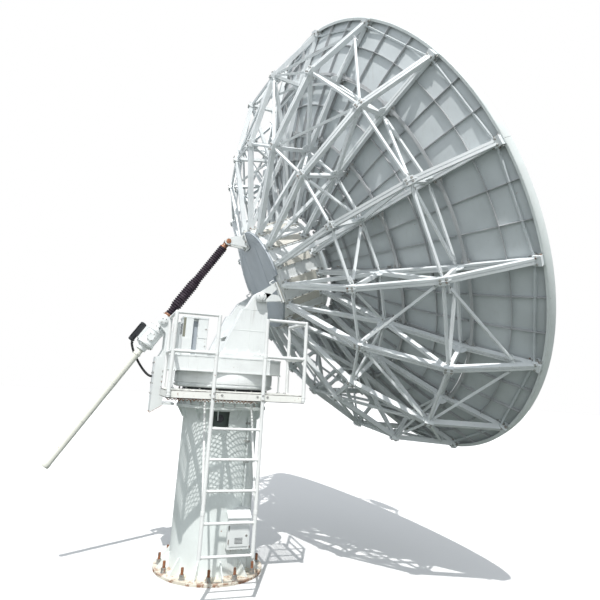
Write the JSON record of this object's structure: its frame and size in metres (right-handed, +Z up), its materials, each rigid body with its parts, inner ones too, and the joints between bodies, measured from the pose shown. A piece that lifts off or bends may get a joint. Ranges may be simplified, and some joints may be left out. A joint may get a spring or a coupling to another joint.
{
  "type": "earth station antenna",
  "caption": "Earth station antenna: a truss-backed dish on a steel pedestal with azimuth turret, elevation screw jack, service platform and ladder.",
  "frame": {"origin": "centre of the base flange's underside", "axes": "+X the way the reflector points, +Y along the elevation axis, +Z up"},
  "size_m": [5.2918, 6.176, 7.0025],
  "materials": {
    "white_paint": "semi-gloss white paint, weathered",
    "base_paint": "off-white paint with rust stains",
    "frame_paint": "light grey-white paint, satin",
    "panel_paint": "grey-green white paint, matt",
    "grey_paint": "grey paint, satin",
    "cream_paint": "cream-white paint, satin",
    "platform_steel": "white paint over expanded steel mesh, rusty edges",
    "dark_steel": "dark oiled steel",
    "black_paint": "black paint, satin",
    "rubber": "dark ribbed rubber",
    "cable_rubber": "black cable sheath",
    "greased_steel": "greased steel with surface rust"
  },
  "bodies": {
    "base": {"base_flange": "base_paint", "pedestal_tube": "white_paint", "top_flange": "white_paint", "azimuth_bearing": "dark_steel", "tube_box": "white_paint"},
    "turret": {"turret_drum": "white_paint", "turret_housing": "white_paint", "yoke_base_plate": "white_paint", "yoke_arm_near": "white_paint", "yoke_arm_far": "white_paint", "yoke_web": "white_paint", "cabinet_near": "white_paint", "cabinet_far": "white_paint", "platform_deck": "platform_steel", "platform_hanger_left": "white_paint", "platform_hanger_right": "white_paint", "railing_left": "white_paint", "railing_right": "white_paint", "ladder": "white_paint", "jack_arm": "white_paint"},
    "dish": {"hub_drum": "frame_paint", "hub_cover": "grey_paint", "elevation_lug_near": "white_paint", "elevation_lug_far": "white_paint", "rod_bracket": "white_paint", "feed_plate": "panel_paint", "feed_horn": "white_paint", "subreflector": "white_paint", "inner_bracing": "frame_paint", "outer_bracing": "frame_paint", "rib_01": "frame_paint", "rib_02": "frame_paint", "rib_03": "frame_paint", "rib_04": "frame_paint", "rib_05": "frame_paint", "rib_06": "frame_paint", "rib_07": "frame_paint", "rib_08": "frame_paint", "rib_09": "frame_paint", "rib_10": "frame_paint", "rib_11": "frame_paint", "rib_12": "frame_paint", "rib_13": "frame_paint", "rib_14": "frame_paint", "rib_15": "frame_paint", "rib_16": "frame_paint", "reflector_quarter_1": "panel_paint", "reflector_quarter_2": "panel_paint", "reflector_quarter_3": "panel_paint", "reflector_quarter_4": "panel_paint"},
    "jack": {"jack_gearbox": "white_paint", "jack_motor": "black_paint", "screw_cover_tube": "cream_paint", "motor_cable": "cable_rubber", "screw_bellows": "rubber"},
    "screw": {"jack_screw": "greased_steel"}
  },
  "joints": [
    {"name": "azimuth", "type": "hinge", "parent": "base", "child": "turret", "pos_m": [0, 0, 2], "axis": [0, 0, 1], "range_deg": [-90, 90]},
    {"name": "elevation", "type": "hinge", "parent": "turret", "child": "dish", "pos_m": [0.26, 0, 3.105], "axis": [0, -1, 0], "range_deg": [-10, 65]},
    {"name": "jack_tilt", "type": "hinge", "parent": "turret", "child": "jack", "pos_m": [-0.83, 0, 2.757], "axis": [0, -1, 0], "range_deg": [-2, 12], "deforming": ["motor_cable"]},
    {"name": "screw_travel", "type": "slide", "parent": "jack", "child": "screw", "axis": [0.5388, 0, 0.8424], "range_m": [-0.94, 0.15], "deforming": ["screw_bellows"]}
  ],
  "couplings": [
    {"joint": "jack_tilt", "follows": "elevation", "ratio": 0.18},
    {"joint": "screw_travel", "follows": "elevation", "m_per_rad": -0.82}
  ]
}
